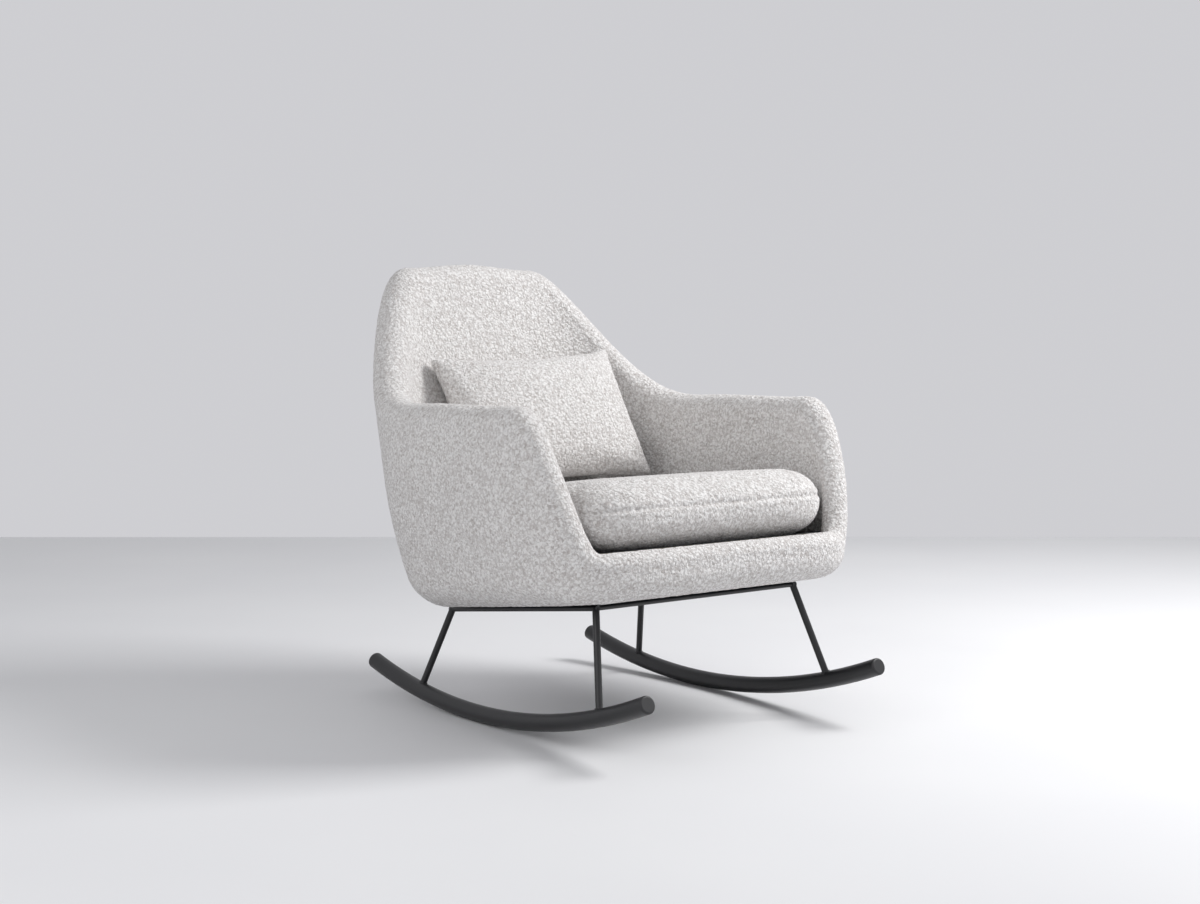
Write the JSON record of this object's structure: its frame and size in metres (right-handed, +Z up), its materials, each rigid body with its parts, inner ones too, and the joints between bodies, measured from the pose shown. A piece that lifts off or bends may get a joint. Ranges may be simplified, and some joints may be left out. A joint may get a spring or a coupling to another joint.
{
  "type": "upholstered rocking chair",
  "caption": "Tub rocking chair: boucle-covered shell with low arms and a raised back, loose seat cushion and lumbar pillow, on a black tube rocker base.",
  "frame": {"origin": "on the floor, midway between the two points where the rockers touch it at rest", "axes": "+Z up, the front faces -Y, +X is the sitter's left"},
  "size_m": [0.7226, 0.9151, 0.8117],
  "materials": {
    "boucle": "looped boucle, matte",
    "foam": "cut foam",
    "filling": "fibre filling",
    "deck_cloth": "plain weave",
    "dust_cloth": "spun cloth, matte",
    "webbing": "elastic weave",
    "moulded_ply": "raw",
    "plywood": "raw",
    "zinc_steel": "zinc plated",
    "zip_tape": "woven tape",
    "black_steel": "satin powder coat",
    "black_plastic": "satin"
  },
  "bodies": {
    "chair": {"shell_cover": "boucle", "shell_foam": "foam", "deck_pad": "foam", "deck_cloth": "deck_cloth", "dust_cover": "dust_cloth", "webbing_long": "webbing", "webbing_cross": "webbing", "shell_core": "moulded_ply", "seat_board": "plywood", "core_screws": "zinc_steel", "dust_cover_staples": "zinc_steel", "frame_bolts": "zinc_steel", "frame_washers": "zinc_steel", "tee_nuts": "zinc_steel", "rail_left": "black_steel", "rocker_left": "black_steel", "leg_front_left": "black_steel", "mount_plate_front_left": "black_steel", "rocker_plug_front_left": "black_plastic", "leg_rear_left": "black_steel", "mount_plate_rear_left": "black_steel", "rocker_plug_rear_left": "black_plastic", "rail_right": "black_steel", "rocker_right": "black_steel", "leg_front_right": "black_steel", "mount_plate_front_right": "black_steel", "rocker_plug_front_right": "black_plastic", "leg_rear_right": "black_steel", "mount_plate_rear_right": "black_steel", "rocker_plug_rear_right": "black_plastic", "rail_front": "black_steel", "rail_rear": "black_steel"},
    "seat_cushion": {"seat_cushion_core": "foam", "seat_cushion_cover": "boucle", "seat_cushion_zip": "zip_tape", "zip_slider": "zinc_steel"},
    "lumbar_pillow": {"lumbar_pillow_fill": "filling", "lumbar_pillow_cover": "boucle"}
  },
  "joints": [
    {"name": "seat_cushion_lift", "type": "slide", "parent": "chair", "child": "seat_cushion", "axis": [0, 0.1253, 0.9921], "range_m": [0, 0.3]},
    {"name": "lumbar_pillow_lift", "type": "slide", "parent": "seat_cushion", "child": "lumbar_pillow", "axis": [0, 0.1253, 0.9921], "range_m": [0, 0.3]}
  ]
}
